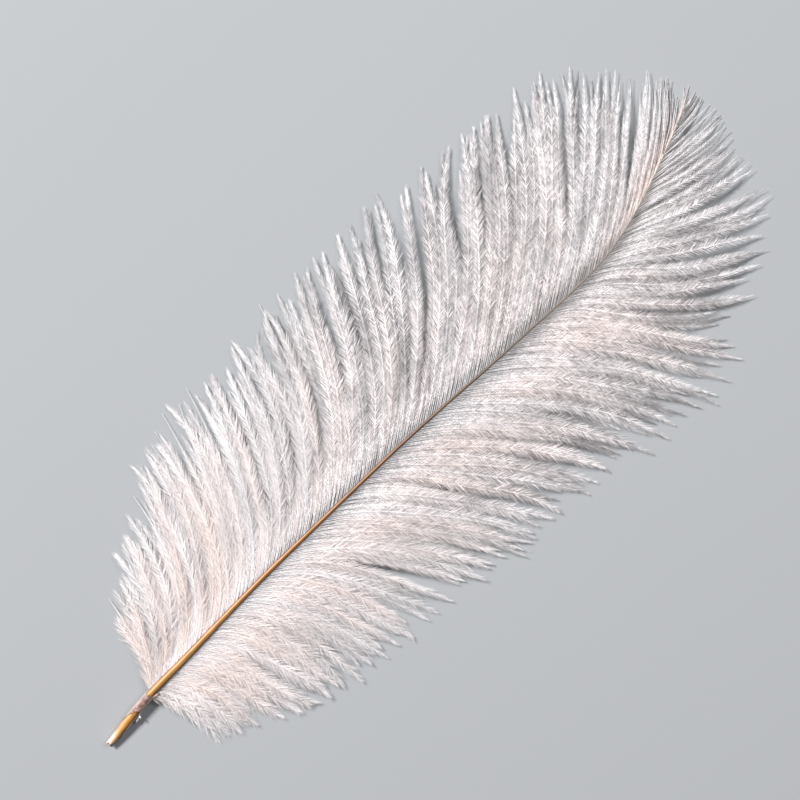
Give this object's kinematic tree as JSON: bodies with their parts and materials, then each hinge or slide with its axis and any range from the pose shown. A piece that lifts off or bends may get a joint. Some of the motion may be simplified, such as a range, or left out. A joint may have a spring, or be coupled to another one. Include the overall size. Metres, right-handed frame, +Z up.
{
  "type": "ostrich feather",
  "caption": "Single white ostrich plume with a tan quill, lying flat, its loose fluffy barbs drooping on both sides.",
  "frame": {"origin": "centre of the lying feather's box, on the surface it lies on", "axes": "+Y along the feather from the quill's cut end to the tip, +Z up away from the surface, +X towards the right vane"},
  "size_m": [0.128, 0.2996, 0.0086],
  "materials": {
    "quill_horn": "smooth satin horn, amber at the bottom and pale at the tip",
    "white_down": "matte soft down, white with a faint pink-peach cast"
  },
  "bodies": {
    "root": {"shaft": "quill_horn", "vane_left": "white_down", "vane_right": "white_down"}
  },
  "joints": []
}
